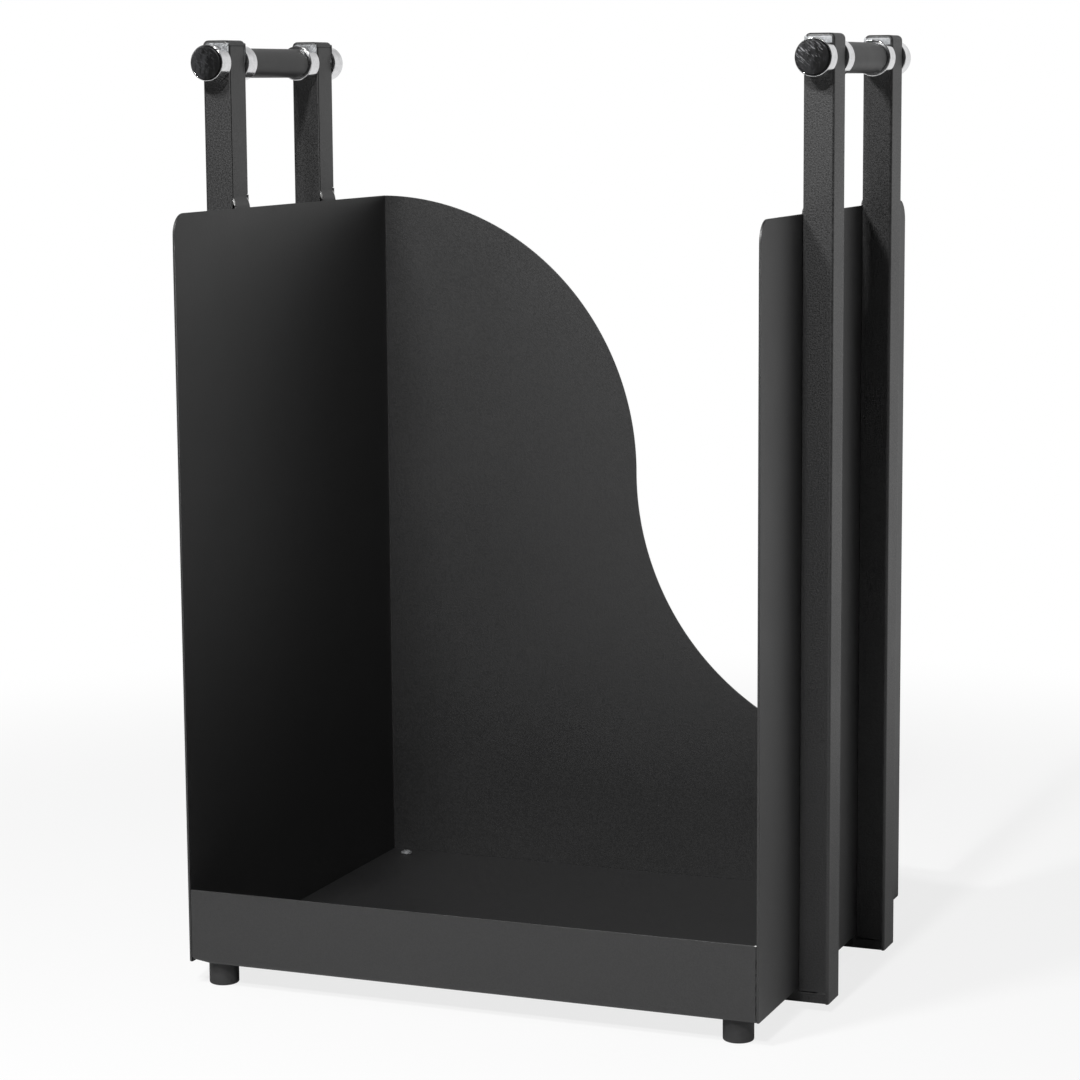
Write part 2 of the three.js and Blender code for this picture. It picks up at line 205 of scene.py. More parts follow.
def compact(points, faces):
    """The same surface without the points that no face uses."""
    used, back = np.unique(np.concatenate([f.reshape(-1) for f in faces]), return_inverse=True)
    parts, at = [], 0
    for f in faces:
        parts.append(back[at:at + f.size].reshape(f.shape))
        at += f.size
    return points[used], parts


def grid_faces(kept):
    """Faces of the kept cells of a grid whose point (i, j) has number i * columns + j."""
    ids = np.arange((kept.shape[0] + 1) * (kept.shape[1] + 1)).reshape(kept.shape[0] + 1, -1)
    return np.stack((ids[:-1, :-1], ids[1:, :-1], ids[1:, 1:], ids[:-1, 1:]), -1)[kept]


def folded(flat, faces, place, thickness):
    """Points and faces of a folded sheet.

    Its flat pattern is put in space twice, by place(a, s, depth) at depth 0 and one thickness
    inwards, and each border edge of the pattern carries a strip between the two."""
    count = len(flat)
    points = np.concatenate([place(flat[:, 0], flat[:, 1], depth) for depth in (0.0, thickness)])
    starts = np.concatenate([f.reshape(-1) for f in faces])
    ends = np.concatenate([np.roll(f, -1, -1).reshape(-1) for f in faces])
    border = ~np.isin(starts * count + ends, ends * count + starts)
    first, second = starts[border], ends[border]
    rim = np.column_stack((second, first, first + count, second + count))
    faces = [np.atleast_2d(f) for f in faces]
    return points, faces + [f[:, ::-1] + count for f in faces] + [rim]


def folded_grid(across, along, kept, place, thickness):
    """A folded sheet whose flat pattern is the kept cells of a grid."""
    a, s = np.meshgrid(across, along, indexing="ij")
    flat, faces = compact(np.column_stack((a.reshape(-1), s.reshape(-1))), [grid_faces(kept)])
    return folded(flat, faces, place, thickness)


def levels(*stops, folds=(), near=0.0006, steps=6):
    """Grid levels from stop to stop.

    The stretch after a stop named in folds is cut into equal steps, and any other long stretch
    gets a shoulder near each of its ends."""
    found = [stops[:1]]
    for start, end in zip(stops[:-1], stops[1:]):
        if start in folds:
            found.append(np.linspace(start, end, steps + 1))
        elif end - start > 4 * near:
            found.append((start, start + near, end - near, end))
        else:
            found.append((start, end))
    return np.unique(np.concatenate(found))


def middles(stops):
    """The middle of each stretch between two levels."""
    return (stops[1:] + stops[:-1]) / 2


# ---- Sizes and colours that a user may change ----
def length(name, description, default):
    return bpy.props.FloatProperty(
        name=name, description=description, default=default, min=0, unit="LENGTH",
        subtype="DISTANCE", precision=5,
    )


def colour(name, description, default):
    return bpy.props.FloatVectorProperty(
        name=name, description=description, default=default, size=3, min=0, max=1, subtype="COLOR"
    )


class RackSizes(bpy.types.PropertyGroup):
    sheet: length("Sheet", "Thickness of the bin and channel sheet", 0.0015)
    edge: length("Edge", "Rounding of the bin's cut edges", 0.00022)
    channel_edge: length("Channel edge", "Rounding of the channels' cut edges", 0.00045)
    corner: length("Side corner", "Radius of the free top corners of the sides", 0.014)
    foot_corner: length("Bottom corner", "Radius of the bottom corners of the sides", 0.0015)
    curve: length("Back curve", "Radius of both arcs of the back edge", 0.2)
    tray_bend: length("Tray bend", "Outer radius of the fold under the lip", 0.0025)
    relief_length: length("Relief length", "Length of the relief under the lip's left end", 0.013)
    relief_rise: length("Relief rise", "Rise of that relief", 0.0018)
    relief_fade: length("Relief fade", "Way over which it fades out beyond the fold", 0.008)
    seam_gap: length("Seam gap", "Extra gap at the lip's right end, bridged by short welds", 0.0002)
    channel_bend: length("Channel bend", "Outer radius of the channel folds", 0.00175)
    head_bend: length("Head bend", "Outer radius of the fold over an upright's top", 0.0036)
    flange_drop: length("Flange drop", "Foot of the upright flanges below the bin", 0.0019)
    slit: length("Slit", "Open slit between an upright's flange and the crossmember", 0.0008)
    weld_start: length("Weld start", "Where a corner weld starts, out from the side", 0.0116)
    ear_jog: length("Ear jog", "Height over which an ear steps outwards", 0.008)
    ear_shoulder: length("Ear shoulder", "Rise from the jog to where an ear widens", 0.0008)
    ear_gap: length("Ear gap", "Groove between an ear and the upright's front flange", 0.0015)
    ear_fit: length("Ear fit", "Gap between an ear and the rear flange cut back behind it", 0.0003)
    ear_fillet: length("Ear fillet", "Radius of the inner corners at the root of an ear", 0.0008)
    weld_margin: length("Weld margin", "How far a seam weld bites into its sheets", 0.0002)
    collar_edge: length("Collar edge", "Rounding of the collar edges", 0.0005)
    collar_bore: length("Collar bore", "Radius of the hole through a collar", 0.00635)
    collar_wall: length("Collar wall", "Wall of an outer collar round its end cap", 0.0008)
    cap_seat: length("Cap seat", "Depth of the seat for an end cap", 0.004)
    cap_crown: length("Cap crown", "Rise of an end cap's face at its centre", 0.00022)
    sleeve_bore: length("Sleeve bore", "Radius of the hole through a grip sleeve", 0.0065)
    foot_hole: length("Foot hole", "Radius of the screw hole in a foot", 0.00235)
    foot_hole_spare: length("Foot hole spare", "Depth of that hole beyond the screw", 0.001)
    screw_shank: length("Screw shank", "Radius of a foot screw", 0.002)
    screw_head: length("Screw head", "Height of a foot screw's head", 0.0024)
    screw_dome: length("Screw dome", "Height of the head's dome and depth of its recess", 0.0011)
    recess_arm: length("Recess arm", "Reach of the arms of the cross recess", 0.0022)
    recess_width: length("Recess width", "Half width of those arms", 0.00045)


class RackColours(bpy.types.PropertyGroup):
    bin_light: colour("Bin, light", "Lighter grain of the bin's coat", (0.0135, 0.0135, 0.0138))
    bin_dark: colour("Bin, dark", "Darker grain of the bin's coat", (0.0056, 0.0056, 0.0058))
    frame_light: colour("Frame, light", "Lighter grain of the frames", (0.0175, 0.0175, 0.0179))
    frame_dark: colour("Frame, dark", "Darker grain of the frames", (0.0020, 0.0020, 0.0021))
    sleeve: colour("Sleeve", "Grip sleeves", (0.028, 0.028, 0.0285))
    chrome: colour("Chrome", "Collars", (0.72, 0.72, 0.73))
    zinc: colour("Zinc", "Bearing blocks and foot screws", (0.40, 0.41, 0.42))
    steel: colour("Steel", "Handle rods", (0.40, 0.40, 0.41))
    cap: colour("Cap", "End caps", (0.0085, 0.0087, 0.0092))
    scratch: colour("Scratch", "Scratches on the end caps", (0.22, 0.22, 0.23))
    rubber: colour("Rubber", "Feet", (0.020, 0.020, 0.0205))
    # The tack welds' bright colour is a painted highlight at the ears' roots and at the lip's top
    # corner.
    weld: colour("Weld", "Bare tack welds", (0.62, 0.62, 0.61))
    block_paint: colour("Block paint", "Inner faces of the bearing blocks", (0.010, 0.010, 0.010))


# ---- Finishes ----
class Wire:
    """A node socket that can stand in a sum: each operator adds a Math node."""

    def __init__(self, finish, socket):
        self.finish, self.socket = finish, socket

    def math(self, operation, *terms, clamp=False):
        settings = {"operation": operation, "use_clamp": clamp}
        return self.finish.add("ShaderNodeMath", settings, dict(enumerate(terms)))[0]

    def __add__(self, other):
        return self.math("ADD", self, other)

    def __sub__(self, other):
        return self.math("SUBTRACT", self, other)

    def __rsub__(self, other):
        return self.math("SUBTRACT", other, self)

    def __mul__(self, other):
        return self.math("MULTIPLY", self, other)

    def __abs__(self):
        return self.math("ABSOLUTE", self)

    def over(self, low, high):
        """0 at low, 1 at high, smooth between."""
        limits = {"Value": self, "From Min": low, "From Max": high}
        settings = {"interpolation_type": "SMOOTHSTEP"}
        return self.finish.add("ShaderNodeMapRange", settings, limits)[0]

    __radd__ = __add__
    __rmul__ = __mul__


class Finish:
    """A node tree being wired: of a material, or of the world."""

    def __init__(self, tree):
        self.tree = tree
        tree.nodes.clear()

    def add(self, kind, settings=None, inputs=None):
        """A node of a kind, its settings made and then its sockets filled. Gives its outputs."""
        node = self.tree.nodes.new(kind)
        for key, value in (settings or {}).items():
            if key == "stops":
                while len(node.color_ramp.elements) < len(value):
                    node.color_ramp.elements.new(1)
                for stop, (at, shade) in zip(node.color_ramp.elements, value):
                    stop.position, stop.color = at, (*shade, 1)
            else:
                setattr(node, key, value)
        for key, value in (inputs or {}).items():
            socket = node.inputs[key]
            if isinstance(value, Wire):
                self.tree.links.new(value.socket, socket)
            else:
                socket.default_value = value
        return [Wire(self, socket) for socket in node.outputs]

    def place(self, scale=(1, 1, 1), turn=0.0):
        """The object's own coordinates in metres, turned about Y by degrees and then scaled."""
        where = self.add("ShaderNodeTexCoord")[3]
        if turn:
            angles = (0, math.radians(turn), 0)
            where = self.add("ShaderNodeMapping", None, {"Vector": where, "Rotation": angles})[0]
        return self.add("ShaderNodeMapping", None, {"Vector": where, "Scale": scale})[0]

    def split(self, vector):
        """The three numbers of a vector."""
        return self.add("ShaderNodeSeparateXYZ", None, {0: vector})

    def camera_and_onward(self):
        """1 on rays from the camera, and 1 on rays that a shiny or matt surface reflected or a
        clear one let through."""
        rays = self.add("ShaderNodeLightPath")
        camera, reflected, let_through = rays[0], rays[5], rays[6]
        return camera, reflected + let_through

    def noise(self, vector, scale, detail=2.0, rough=0.5, distortion=0.0):
        sockets = {
            "Vector": vector, "Scale": scale, "Detail": detail, "Roughness": rough,
            "Distortion": distortion,
        }
        return self.add("ShaderNodeTexNoise", None, sockets)[0]

    def blend(self, factor, first, second):
        """A colour between two colours: the first at 0, the second at 1."""
        first, second = (c if isinstance(c, Wire) else (*c, 1) for c in (first, second))
        return self.add("ShaderNodeMix", {"data_type": "RGBA"}, {0: factor, 6: first, 7: second})[2]

    def bump(self, height, strength, distance):
        sockets = {"Height": height, "Strength": strength, "Distance": distance}
        return self.add("ShaderNodeBump", None, sockets)[0]

    def glow(self, kind):
        """White light of strength 1: an Emission shader, or a Background in the world."""
        return self.add(kind, None, {"Color": WHITE, "Strength": 1.0})[0]

    def mix(self, factor, first, second):
        return self.add("ShaderNodeMixShader", None, {0: factor, 1: first, 2: second})[0]

    def surface(self, **inputs):
        """A Principled surface wired to the output."""
        named = {key.replace("_", " "): value for key, value in inputs.items()}
        self.finish_with(self.add("ShaderNodeBsdfPrincipled", None, named)[0])

    def finish_with(self, shader, kind="ShaderNodeOutputMaterial"):
        self.add(kind, None, {"Surface": shader})


def shade_of(tone, share):
    """A colour times a share."""
    return tuple(share * v for v in tone)


def on_right(x):
    """0 on the left-hand side of the rack and 1 on its right-hand side."""
    return x.over(-0.05, 0.05)


def new_finish(name):
    material = bpy.data.materials.new(name)
    material.use_nodes = True
    return material, Finish(material.node_tree)


def powder_coat(f, light, dark, grain, gloss):
    """Baked powder paint: a fine pebbled skin, its grain seen as light and dark specks."""
    where = f.place()
    pebble = f.noise(where, 950, 1.5, 0.5)
    fine = f.noise(where, 2600, 2, 0.5)
    cloud = f.noise(where, 14, 3, 0.55)
    speck = pebble.over(0.34, 0.68) * 0.85 + fine * 0.15
    height = pebble * 0.85 + fine * 0.15
    f.surface(
        Base_Color=f.blend(speck, dark, light),
        Roughness=0.5 + (cloud - 0.5) * 0.10 + (pebble - 0.5) * 0.25 * grain,
        Specular_IOR_Level=gloss,
        Normal=f.bump(height, 0.5, 0.00021 * grain),
    )


def polished_chrome(f, tone):
    """Turned and plated: a mirror with faint turning marks and a few dull clouds."""
    where = f.place()
    marks = f.noise(f.place(scale=(300, 9000, 300)), 1, 2)
    cloud = f.noise(where, 220, 3, 0.6)
    f.surface(
        Base_Color=f.blend(cloud.over(0.35, 0.75), tone, shade_of(tone, 0.86)),
        Metallic=1.0,
        Roughness=0.10 + cloud * 0.08,
        Normal=f.bump(marks, 0.05, 0.00002),
    )


def mottled_zinc(f, tone, paint, painted_within=0.0):
    """Bare zinc on a milled block: slanting cutter marks under a mottled bloom. On the left-hand
    side of the rack it is painted darker, with stronger marks, as painted shade.
    A face nearer to the middle plane than painted_within is painted over."""
    where = f.place()
    x = f.split(where)[0]
    # dull is painted shade: it is 1 on the rack's left-hand side, where it darkens the zinc.
    dull, paint_edge = 1 - on_right(x), 0.0001
    bare = abs(x).over(painted_within, painted_within + paint_edge)
    bloom = f.noise(where, 520, 4, 0.7, 0.4)
    strokes = f.noise(f.place((260, 260, 1300), 40), 1, 3, 0.6, 0.3)
    mark = strokes.over(0.36, 0.64)
    # On the left-hand side dull strengthens the marks and lowers the tone: painted shade.
    shade = mark * (0.3 + dull * 0.4) + bloom.over(0.3, 0.7) * 0.45 + (0.25 - dull * 0.58)
    metal = f.blend(shade.math("ADD", shade, 0, clamp=True), shade_of(tone, 0.22), tone)
    f.surface(
        Base_Color=f.blend(bare, paint, metal),
        Metallic=bare * 0.2,
        Roughness=0.50 + bloom * 0.2,
        Specular_IOR_Level=0.3,
        Normal=f.bump(strokes, 0.35, 0.00010),
    )


def drawn_steel(f, tone):
    """Drawn bar: fine lines along its length."""
    lines = f.noise(f.place(scale=(2600, 40, 2600)), 1, 2)
    f.surface(
        Base_Color=f.blend(lines, shade_of(tone, 0.8), tone),
        Metallic=1.0,
        Roughness=0.28 + lines * 0.15,
        Normal=f.bump(lines, 0.1, 0.00004),
    )


def scratched_cap(f, tone, scratch, axis):
    """Dark cap, mottled, with a painted reflection that makes each cap lighter towards its left and
    darker towards its right. On the right-hand side of the rack its face is scored by short slanting
    saw marks, most of them at the upper left, and faintly on the other.
    The axis is that of the right handle; the left one mirrors it."""
    where = f.place()
    x, _, z = f.split(where)
    across, up = x - x.math("SIGN", x) * axis[0], z - axis[2]
    scored = 0.20 + on_right(x) * 0.80
    score = f.noise(f.place((280, 300, 2300), -42), 1, 2, 0.5, 0.12)
    patch = f.noise(where, 150, 3, 0.6) + (up - across) * 16
    # Painted reflection: across * 20 lightens each cap towards its left and darkens it towards its
    # right, on top of the random mottle.
    mottle_and_reflection = f.noise(f.place((420, 420, 120)), 1, 4, 0.65) - across * 20
    mark = score.over(0.56, 0.70) * patch.over(0.42, 0.66) * scored
    ground = f.blend(mottle_and_reflection.over(0.38, 0.68), shade_of(tone, 0.2), shade_of(tone, 2.1))
    f.surface(
        Base_Color=f.blend(mark, ground, scratch),
        Roughness=0.38 + mottle_and_reflection * 0.2,
        Specular_IOR_Level=0.16,
        Normal=f.bump(score, 0.5, 0.00015),
    )


def moulded_rubber(f, tone):
    """Moulded rubber: dull, with a faint bloom and scuffs."""
    where = f.place()
    bloom = f.noise(where, 160, 4, 0.6)
    pits = f.noise(where, 1800, 2, 0.5)
    f.surface(
        Base_Color=f.blend(bloom.over(0.3, 0.75), shade_of(tone, 0.75), shade_of(tone, 1.3)),
        Roughness=0.62 + bloom * 0.15,
        Normal=f.bump(pits, 0.2, 0.00008),
    )


def sleeve_coat(f, tone):
    """Satin sleeve of the grip: an even dark coat with a very fine grain."""
    where = f.place()
    grain = f.noise(where, 1500, 3, 0.55)
    wear = f.noise(where, 60, 3, 0.6)
    f.surface(
        Base_Color=f.blend(grain * 0.7 + wear * 0.3, shade_of(tone, 0.8), shade_of(tone, 1.2)),
        Roughness=0.50 + (wear - 0.5) * 0.14,
        Normal=f.bump(grain, 0.18, 0.00008),
    )


def weld_highlight(f, tone):
    """A tack weld painted bright as a highlight, with ripples of frozen metal."""
    where = f.place()
    ripple = f.noise(where, 1400, 2, 0.5, 0.6)
    f.surface(
        Base_Color=f.blend(ripple, shade_of(tone, 0.75), shade_of(tone, 1.2)),
        Metallic=0.7,
        Roughness=0.3 + ripple * 0.2,
        Normal=f.bump(ripple, 0.4, 0.00010),
    )


def block_zinc(f, colours):
    """The bearing blocks' zinc, with the faces that close the channels painted."""
    inner_face, paint_depth = reach_of("front_right_bearing_block")[0], 0.00005
    mottled_zinc(f, colours.zinc, colours.block_paint, inner_face + paint_depth)


MAKERS = {
    "Bin paint": lambda f, c: powder_coat(f, c.bin_light, c.bin_dark, 0.7, 0.78),
    "Frame paint": lambda f, c: powder_coat(f, c.frame_light, c.frame_dark, 1.8, 0.73),
    "Grip coat": lambda f, c: sleeve_coat(f, c.sleeve),
    "Collar chrome": lambda f, c: polished_chrome(f, c.chrome),
    "Block zinc": block_zinc,
    "Rod steel": lambda f, c: drawn_steel(f, c.steel),
    "Screw zinc": lambda f, c: mottled_zinc(f, c.zinc, c.block_paint),
    "Cap black": lambda f, c: scratched_cap(f, c.cap, c.scratch, middle_of("right_handle_rod")),
    "Foot rubber": lambda f, c: moulded_rubber(f, c.rubber),
    "Weld highlight": lambda f, c: weld_highlight(f, c.weld),
}


def finish(name):
    """A finish by name, made at its first use."""
    material = bpy.data.materials.get(name)
    if material is None:
        material, f = new_finish(name)
        MAKERS[name](f, bpy.context.scene.rack_colours)
    return material


# ---- Pieces ----
class RACK_OT_tray(bpy.types.Operator):
    """Floor and front lip, folded from one sheet, with a tapered relief under the lip's left end"""

    bl_idname = "rack.tray"
    bl_label = "Tray"
    bl_options = {"REGISTER", "UNDO"}

    def execute(self, context):
        size = context.scene.rack_sizes
        low, high = box_of("floor_tray")
        bend, t = size.tray_bend, size.sheet
        quarter = bend * math.pi / 2
        lip, floor = high[2] - low[2] - bend, high[1] - low[1] - bend
        relief_start, fade_length = low[0] + size.relief_length, size.relief_fade

        def place(a, s, depth):
            """s runs down the lip, round the fold and back along the floor; a runs along X. The
            relief lifts the fold by the share of its length passed, fading out above and behind."""
            turn = np.clip((s - lip) / bend, 0, math.pi / 2)
            reach = bend - depth
            y = low[1] + bend - reach * np.cos(turn) + np.maximum(s - lip - quarter, 0)
            z = low[2] + bend - reach * np.sin(turn) + np.maximum(lip - s, 0)
            end = np.clip((relief_start - a) / size.relief_length, 0, 1)
            fade = np.clip(1 - (np.abs(s - lip - quarter / 2) - quarter / 2) / fade_length, 0, 1)
            return np.column_stack((a, y, z + end * fade * size.relief_rise))

        right_end = high[0] - size.seam_gap
        across = levels(low[0], relief_start, right_end)
        along = levels(0, lip - fade_length, lip, lip + quarter, lip + quarter + fade_length,
                       lip + quarter + floor, folds=[lip])
        kept = np.ones((len(across) - 1, len(along) - 1), bool)
        points, faces = folded_grid(across, along, kept, place, t)
        add_mesh("tray_sheet", points, faces, "Bin paint", ["floor_tray"], size.edge)
        return {"FINISHED"}


class RACK_OT_back(bpy.types.Operator):
    """Back sheet, whose top edge falls in two quarter arcs"""

    bl_idname = "rack.back"
    bl_label = "Back"
    bl_options = {"REGISTER", "UNDO"}

    def execute(self, context):
        size = context.scene.rack_sizes
        low, high = box_of("back_panel")
        radius, middle = size.curve, high[2] - size.curve
        turn = math.acos(max(0, 1 - high[0] / radius))
        angle = np.linspace(0, turn, 97)
        upper = np.column_stack((-radius + radius * np.cos(angle), middle + radius * np.sin(angle)))
        lower = -upper[::-1] + (0, 2 * middle)
        corners = np.array([(low[0], low[2]), (high[0], low[2])])
        outline = distinct(np.concatenate((corners, lower, upper[1:])))
        face = np.arange(len(outline))

        def place(a, s, depth):
            return np.column_stack((a, np.full(len(a), high[1] - depth), s))

        points, faces = folded(outline, [face], place, size.sheet)
        add_mesh("back_sheet", points, faces, "Bin paint", ["back_panel"], size.edge)
        return {"FINISHED"}


class RACK_OT_sides(bpy.types.Operator):
    """Side sheets, each with two ears that step outwards above its top edge"""

    bl_idname = "rack.sides"
    bl_label = "Sides"
    bl_options = {"REGISTER", "UNDO"}

    def execute(self, context):
        size = context.scene.rack_sizes
        for side, sign in SIDES.items():
            self.build_side(size, side, sign)
        return {"FINISHED"}

    def build_side(self, size, side, sign):
        """The outline starts on the front edge and runs down, back and up the rear edge, then
        forwards along the top with its two ears. Rows of points carry the step at each ear."""
        low, high = box_of(f"{side}_side_panel")
        top = box_of("back_panel")[1][2]
        inner, outer = reach_of(f"{side}_side_panel")
        jog = outer - (inner + size.sheet)
        fillet, stub, leg, square = size.ear_fillet, 0.003, 0.03, 0.0006
        ear_rear, ear_front, clearance = 0.0003, 0.0012, 0.0001
        ears = []
        for end in ENDS:
            channel = box_of(f"{end}_{side}_upright")
            rear = channel[1][1] - size.ear_fit
            ears.append((channel[0][1] + size.sheet + size.ear_gap, rear - size.sheet, rear))
        rear_corner = size.corner if side == "right" else square
        jog_rows = top + np.linspace(fillet, size.ear_jog + size.ear_shoulder, 14)
        widening = jog_rows[-1]
        ear_top = box_of(f"front_{side}_upright")[1][2] - size.head_bend - clearance

        corners = [(low[1], top - leg), (low[1], low[2]), (high[1], low[2]), (high[1], top),
                   (high[1] - leg, top)]
        radii = [0, size.foot_corner, size.foot_corner, rear_corner, 0]
        bottom = rounded(corners, radii, 10, closed=False)
        corners = [(low[1] + leg, top), (low[1], top), (low[1], top - leg)]
        front_corner = rounded(corners, [0, size.corner, 0], 10, closed=False)
        parts, ear_ids, at = [bottom], [], len(bottom)
        for near, far, widest in reversed(ears):
            rear_root = [(far + stub, top), (far, top), (far, top + stub)]
            front_root = [(near, top + stub), (near, top), (near - stub, top)]
            head = [(far, widening), (widest, widening), (widest, ear_top), (near, ear_top),
                    (near, widening)]
            rear_root, front_root, head = (
                rounded(corners, radii, 4, False)[1:-1]
                for corners, radii in ((rear_root, [0, fillet, 0]), (front_root, [0, fillet, 0]),
                                       (head, [0, 0, ear_rear, ear_front, 0]))
            )
            up = np.column_stack((np.full(len(jog_rows) - 1, far), jog_rows[1:]))
            down = np.column_stack((np.full(len(jog_rows) - 1, near), jog_rows[:0:-1]))
            strip = [rear_root, up, head, down, front_root]
            start = at + len(rear_root) - 1
            rear_ids = start + np.arange(len(jog_rows))
            front_ids = start + 2 * len(up) + len(head) + 1 - np.arange(len(jog_rows))
            ear_ids.append((rear_ids, front_ids))
            parts += strip
            at += sum(len(p) for p in strip)
        parts.append(front_corner)
        outline = np.concatenate(parts)

        main = np.arange(len(outline))
        faces = []
        for rear_ids, front_ids in ear_ids:
            main = main[(main <= rear_ids[0]) | (main >= front_ids[0])]
            rows = (rear_ids[:-1], rear_ids[1:], front_ids[1:], front_ids[:-1])
            faces.append(np.column_stack(rows))
            faces.append(np.arange(rear_ids[-1], front_ids[-1] + 1))
        faces.append(main)

        def place(a, s, depth):
            """The sheet lies flat up to its top edge, then steps outwards on a smooth S. With h the
            share of the jog's height, the step is jog h^3 (10 - 15 h + 6 h^2), and its slope gives
            the direction in which the thickness lies."""
            share = np.clip((s - top) / size.ear_jog, 0, 1)
            step = jog * share ** 3 * (10 - 15 * share + 6 * share ** 2)
            slope = jog / size.ear_jog * 30 * share ** 2 * (1 - share) ** 2
            lean = np.hypot(1, slope)
            x = outer - jog + step - depth / lean
            return np.column_stack((sign * x, a, s + depth * slope / lean))

        points, faces = folded(outline, faces, place, size.sheet)
        add_mesh(f"{side}_side_sheet", points, faces, "Bin paint",
                 [f"{side}_side_panel"], size.edge)


def channel_place(size, outer, centre, width, sign, top=None, run=0):
    """Places a channel's flat pattern: a runs across flange, fold, web, fold and flange, s runs up.

    Across, the fold is a quarter circle, so depth behind the web is bend (1 - cos) and the way
    towards the flange is bend sin. Over the top, the web runs on round a quarter circle, along a
    flat run and down another quarter circle, at reach (cos, sin) of the angle passed."""
    bend = size.channel_bend
    half = width / 2 - bend
    quarter = bend * math.pi / 2

    def place(a, s, depth):
        beyond = np.maximum(np.abs(a) - half, 0)
        turn = np.clip(beyond / bend, 0, math.pi / 2)
        along = np.sign(a) * (np.minimum(np.abs(a), half) + (bend - depth) * np.sin(turn))
        back = bend - (bend - depth) * np.cos(turn) + np.maximum(beyond - quarter, 0)
        if top is None:
            return back, along
        round_head = size.head_bend * math.pi / 2
        rise = s - (top - size.head_bend)
        flat = np.clip(rise - round_head, 0, run)
        over = np.clip(rise, 0, round_head) + np.clip(rise - round_head - run, 0, round_head)
        reach, angle = size.head_bend - back, over / size.head_bend
        straight = rise < 0
        x = np.where(straight, outer - back, outer - size.head_bend - flat + reach * np.cos(angle))
        z = np.where(straight, s, top - size.head_bend + reach * np.sin(angle))
        return np.column_stack((sign * x, centre + along, z))

    return place, half, quarter


class RACK_OT_frames(bpy.types.Operator):
    """Uprights and crossmembers: folded channels; the web of each upright folds over its top"""

    bl_idname = "rack.frames"
    bl_label = "Frames"
    bl_options = {"REGISTER", "UNDO"}

    def execute(self, context):
        size = context.scene.rack_sizes
        for end, side in UPRIGHTS:
            self.build_upright(size, end, side)
        for end in ENDS:
            self.build_crossmember(size, end)
        return {"FINISHED"}

    def build_upright(self, size, end, side):
        """The web is folded over the top, and the flanges run from just below the bin to the level
        of the rod. Behind the ear the rear flange is cut back."""
        low, high = box_of(f"{end}_{side}_upright")
        rod_level = middle_of(f"{side}_handle_rod")[2]
        inner, outer = reach_of(f"{end}_{side}_upright")
        run = outer - inner - 2 * size.head_bend
        place, half, quarter = channel_place(
            size, outer, (low[1] + high[1]) / 2, high[1] - low[1], SIDES[side], high[2], run)
        fold = half + quarter
        flange = fold + outer - inner - size.channel_bend
        flange_foot = box_of("floor_tray")[0][2] - size.flange_drop
        head, round_head = high[2] - size.head_bend, size.head_bend * math.pi / 2
        drop = head + round_head + run
        ear_face = reach_of(f"{side}_side_panel")[1]
        lap = flange - (ear_face - inner + size.ear_fit)
        ear_start = box_of("back_panel")[1][2] + size.ear_jog + size.ear_shoulder - size.ear_fit
        across = levels(-flange, -fold, -half, half, fold, lap, flange, folds=[half, -fold])
        along = levels(low[2], flange_foot, ear_start, rod_level, head, head + round_head, drop,
                       drop + round_head, folds=[head, drop])
        across_mid, along_mid = middles(across), middles(along)
        on_web = np.abs(across_mid) < fold
        on_flange = (along_mid > flange_foot) & (along_mid < rod_level)
        behind_ear = (across_mid > lap)[:, None] & (along_mid > ear_start)[None]
        kept = on_web[:, None] | on_flange[None] & ~behind_ear
        points, faces = folded_grid(across, along, kept, place, size.sheet)
        add_mesh(f"{end}_{side}_channel", points, faces, "Frame paint",
                 [f"{end}_{side}_upright"], size.channel_edge)

    def build_crossmember(self, size, end):
        """A channel on its back. Beyond the bin's sides its flanges are cut down, which leaves a
        slit under the flanges of the uprights."""
        low, high = box_of(f"{end}_crossmember")
        side_face = box_of("right_side_panel")[0][0] + size.sheet
        centre, width = (low[1] + high[1]) / 2, high[1] - low[1]
        section, half, quarter = channel_place(size, 0, 0, width, 1)
        fold = half + quarter
        flange = fold + high[2] - low[2] - size.channel_bend
        notch = flange - (high[2] - (box_of("floor_tray")[0][2] - size.flange_drop - size.slit))

        def place(a, s, depth):
            """A channel on its back: a runs across, s along X, and the web lies underneath."""
            back, along = section(a, s, depth)
            return np.column_stack((s, centre + along, low[2] + back))

        across = levels(-flange, -notch, -fold, -half, half, fold, notch, flange,
                        folds=[half, -fold])
        along = levels(low[0], -side_face, side_face, high[0])
        across_mid, along_mid = middles(across), middles(along)
        kept = (np.abs(across_mid) < notch)[:, None] | (np.abs(along_mid) < side_face)[None]
        points, faces = folded_grid(across, along, kept, place, size.sheet)
        add_mesh(f"{end}_cross_channel", points, faces, "Frame paint",
                 [f"{end}_crossmember"], size.edge)


def pillow(centre, right, up, out, size, steps=(24, 10)):
    """A low bead: half lengths and height (a, b, c) along right, up and out from its centre.

    Its point (u, v) is a cos u cos v along, b sin u cos v up and c sin v out, for v from the
    back pole to the front pole."""
    a, b, c = size
    u = np.linspace(0, 2 * math.pi, steps[0], endpoint=False)
    v = np.linspace(-math.pi / 2, math.pi / 2, steps[1] + 1)
    flat = np.cos(v)[:, None]
    grid = (
        (a * np.cos(u) * flat)[..., None] * np.array(right)
        + (b * np.sin(u) * flat)[..., None] * np.array(up)
        + np.broadcast_to((c * np.sin(v))[:, None], (len(v), len(u)))[..., None] * np.array(out)
    ) + np.array(centre)
    ids = np.arange(grid.shape[0] * steps[0]).reshape(-1, steps[0])
    ids[[0, -1]] = ids[[0, -1], :1]
    ring = np.stack((ids[:-1], np.roll(ids[:-1], -1, 1), np.roll(ids[1:], -1, 1), ids[1:]), -1)
    faces = [ring[1:-1].reshape(-1, 4), ring[0][:, [0, 2, 3]], ring[-1][:, [0, 1, 2]]]
    return compact(grid.reshape(-1, 3), faces)


